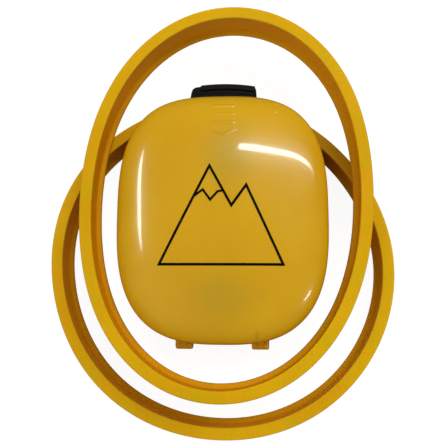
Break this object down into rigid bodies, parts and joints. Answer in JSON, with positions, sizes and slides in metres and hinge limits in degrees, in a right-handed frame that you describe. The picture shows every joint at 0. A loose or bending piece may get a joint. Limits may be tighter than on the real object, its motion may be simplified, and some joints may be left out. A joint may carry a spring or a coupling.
{
  "type": "avalanche transceiver",
  "caption": "Palm-sized avalanche transceiver: domed hinged cover with sliding latch, battery, aerial and circuit board inside, looped by rubber carrying rings.",
  "frame": {"origin": "centre of the flat rear face of the housing, which lies on the resting plane", "axes": "+Z out through the domed front cover, +Y towards the release latch end, +X to the right seen from in front"},
  "size_m": [0.1113, 0.1361, 0.0275],
  "materials": {
    "cover_plastic": "glossy translucent amber-yellow",
    "shell_plastic": "semi-gloss amber-yellow",
    "gasket_rubber": "matte",
    "latch_plastic": "satin black",
    "spring_steel": "satin",
    "pin_steel": "polished",
    "screw_steel": "zinc plated",
    "board_laminate": "green solder mask",
    "holder_plastic": "matte black",
    "cell_jacket": "printed-free sleeve",
    "contact_metal": "nickel plated",
    "ferrite": "matte dark ceramic",
    "bobbin_plastic": "matte",
    "winding_copper": "enamelled wire",
    "chip_resin": "moulded resin",
    "can_metal": "satin",
    "inductor_body": "matte",
    "capacitor_ceramic": "matte",
    "capacitor_sleeve": "sleeve",
    "led_resin": "clear resin",
    "ring_rubber": "satin yellow rubber"
  },
  "bodies": {
    "housing": {"rear_shell": "shell_plastic", "rim_gasket": "gasket_rubber", "latch_spring": "spring_steel", "hinge_pin_left": "pin_steel", "hinge_pin_right": "pin_steel", "circuit_board": "board_laminate", "board_screw_1": "screw_steel", "board_screw_2": "screw_steel", "board_screw_3": "screw_steel", "board_screw_4": "screw_steel", "battery_holder": "holder_plastic", "battery_cell": "cell_jacket", "contact_spring": "contact_metal", "contact_plate": "contact_metal", "ferrite_rod": "ferrite", "antenna_bobbin": "bobbin_plastic", "antenna_winding": "winding_copper", "rod_cradle_front": "holder_plastic", "rod_cradle_rear": "holder_plastic", "antenna_lead_1": "winding_copper", "antenna_lead_2": "winding_copper", "microcontroller": "chip_resin", "crystal_can": "can_metal", "choke_inductor": "inductor_body", "tuning_capacitor_1": "capacitor_ceramic", "tuning_capacitor_2": "capacitor_ceramic", "reservoir_capacitor": "capacitor_sleeve", "driver_transistor": "chip_resin", "status_led": "led_resin", "switch_body": "can_metal", "button_body": "can_metal"},
    "cover": {"front_cover": "cover_plastic"},
    "latch": {"release_latch": "latch_plastic"},
    "power_slider": {"switch_slider": "latch_plastic"},
    "test_button": {"button_plunger": "latch_plastic"},
    "lower_ring": {"rubber_ring_lower": "ring_rubber"},
    "upper_ring": {"rubber_ring_upper": "ring_rubber"}
  },
  "joints": [
    {"name": "cover_hinge", "type": "hinge", "parent": "housing", "child": "cover", "pos_m": [0, -0.0395, 0.0124], "axis": [1, 0, 0], "range_deg": [0, 54]},
    {"name": "latch_slide", "type": "slide", "parent": "housing", "child": "latch", "axis": [0, -1, 0], "range_m": [0, 0.0025], "deforming": ["latch_spring"]},
    {"name": "switch_slide", "type": "slide", "parent": "housing", "child": "power_slider", "axis": [0, 1, 0], "range_m": [0, 0.002]},
    {"name": "button_press", "type": "slide", "parent": "housing", "child": "test_button", "axis": [0, 0, -1], "range_m": [0, 0.0004]},
    {"name": "lower_ring_pull", "type": "slide", "parent": "housing", "child": "lower_ring", "axis": [0, 1, 0], "range_m": [0, 0.018]},
    {"name": "upper_ring_lift", "type": "slide", "parent": "housing", "child": "upper_ring", "axis": [0, 0, 1], "range_m": [0, 0.08]}
  ]
}
